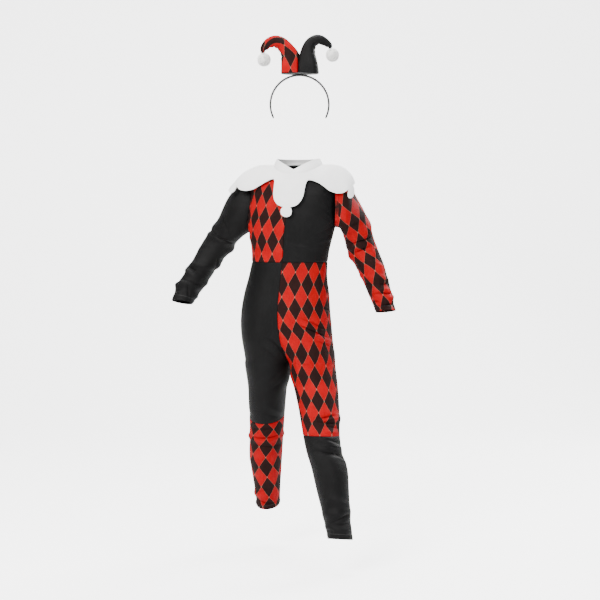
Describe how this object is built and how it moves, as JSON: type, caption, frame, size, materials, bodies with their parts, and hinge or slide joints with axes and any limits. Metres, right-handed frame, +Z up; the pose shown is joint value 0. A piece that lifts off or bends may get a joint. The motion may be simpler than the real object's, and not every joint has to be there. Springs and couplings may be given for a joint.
{
  "type": "jester costume",
  "caption": "Child's one-piece jester suit in lozenge cloth and plain knit, with a white petal collar and a headband with two stuffed horns.",
  "frame": {"origin": "middle of the neck, level with the tops of the shoulders that carry the suit, about 1 m above the wearer's floor", "axes": "+Z up along the wearer, -Y out of the chest, +X to the wearer's left"},
  "size_m": [0.574, 0.3132, 1.2591],
  "materials": {
    "black_knit": "smooth matt stretch knit, plain black",
    "lozenge_cloth": "smooth stretch knit printed with red and black lozenges",
    "white_felt": "matt white bonded cloth",
    "band_cloth": "black cloth over a sprung band",
    "plush": "short white plush pile"
  },
  "bodies": {
    "root": {"bodice_front_left": "black_knit", "bodice_back_right": "black_knit", "sleeve_right": "black_knit", "lower_sleeve_right": "black_knit", "leg_front_right": "black_knit", "leg_back_right": "black_knit", "shin_left": "black_knit", "back_placket": "black_knit", "horn_left": "black_knit", "bodice_front_right": "lozenge_cloth", "bodice_back_left": "black_knit", "sleeve_left": "lozenge_cloth", "lower_sleeve_left": "lozenge_cloth", "leg_front_left": "lozenge_cloth", "leg_back_left": "black_knit", "shin_right": "lozenge_cloth", "horn_right": "lozenge_cloth", "collar": "white_felt", "neckband": "white_felt", "headband": "band_cloth", "horn_base": "band_cloth", "pompom_right": "plush", "pompom_left": "plush"}
  },
  "joints": []
}
